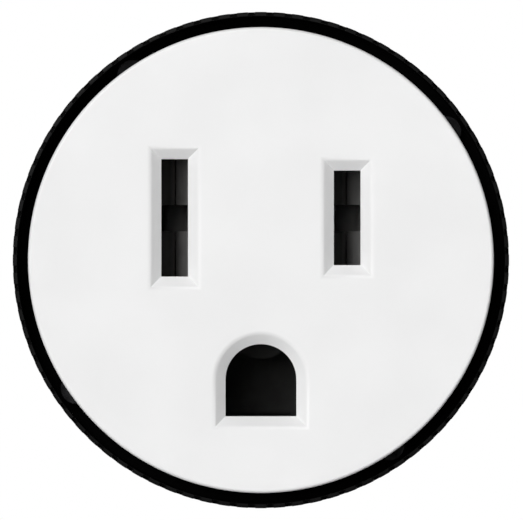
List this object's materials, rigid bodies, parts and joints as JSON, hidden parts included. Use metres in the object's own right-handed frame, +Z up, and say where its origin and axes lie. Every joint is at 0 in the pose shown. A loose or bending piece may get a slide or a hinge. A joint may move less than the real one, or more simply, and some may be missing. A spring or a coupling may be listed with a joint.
{
  "type": "flush outlet",
  "caption": "Round flush three-pin power outlet: white disc in a black serrated collar, with sprung contacts and clamp terminals behind.",
  "frame": {"origin": "centre of the collar's front rim, in the finished wall surface", "axes": "+Y into the wall, +Z up as installed, +X to the right seen from the front"},
  "size_m": [0.0364, 0.0338, 0.0364],
  "materials": {
    "white_thermoplastic": "satin moulded",
    "black_thermoplastic": "fine moulded",
    "black_aluminium": "black anodised",
    "plated_brass": "nickel plated strip",
    "nickel_screw": "nickel plated",
    "brass_screw": "turned",
    "green_screw": "green passivated",
    "zinc_steel": "zinc plated",
    "black_screw": "black oxide"
  },
  "bodies": {
    "root": {"face": "white_thermoplastic", "collar": "black_aluminium", "body": "black_thermoplastic", "rear_cover": "black_thermoplastic", "neutral_contact": "plated_brass", "hot_contact": "plated_brass", "ground_contact": "plated_brass", "neutral_terminal_screw": "nickel_screw", "hot_terminal_screw": "brass_screw", "ground_terminal_screw": "green_screw", "neutral_clamp": "zinc_steel", "hot_clamp": "zinc_steel", "ground_clamp": "zinc_steel", "collar_screw_1": "black_screw", "collar_screw_2": "black_screw", "collar_screw_3": "black_screw", "collar_screw_4": "black_screw", "assembly_screw_1": "zinc_steel", "assembly_screw_2": "zinc_steel", "assembly_screw_3": "zinc_steel"}
  },
  "joints": []
}
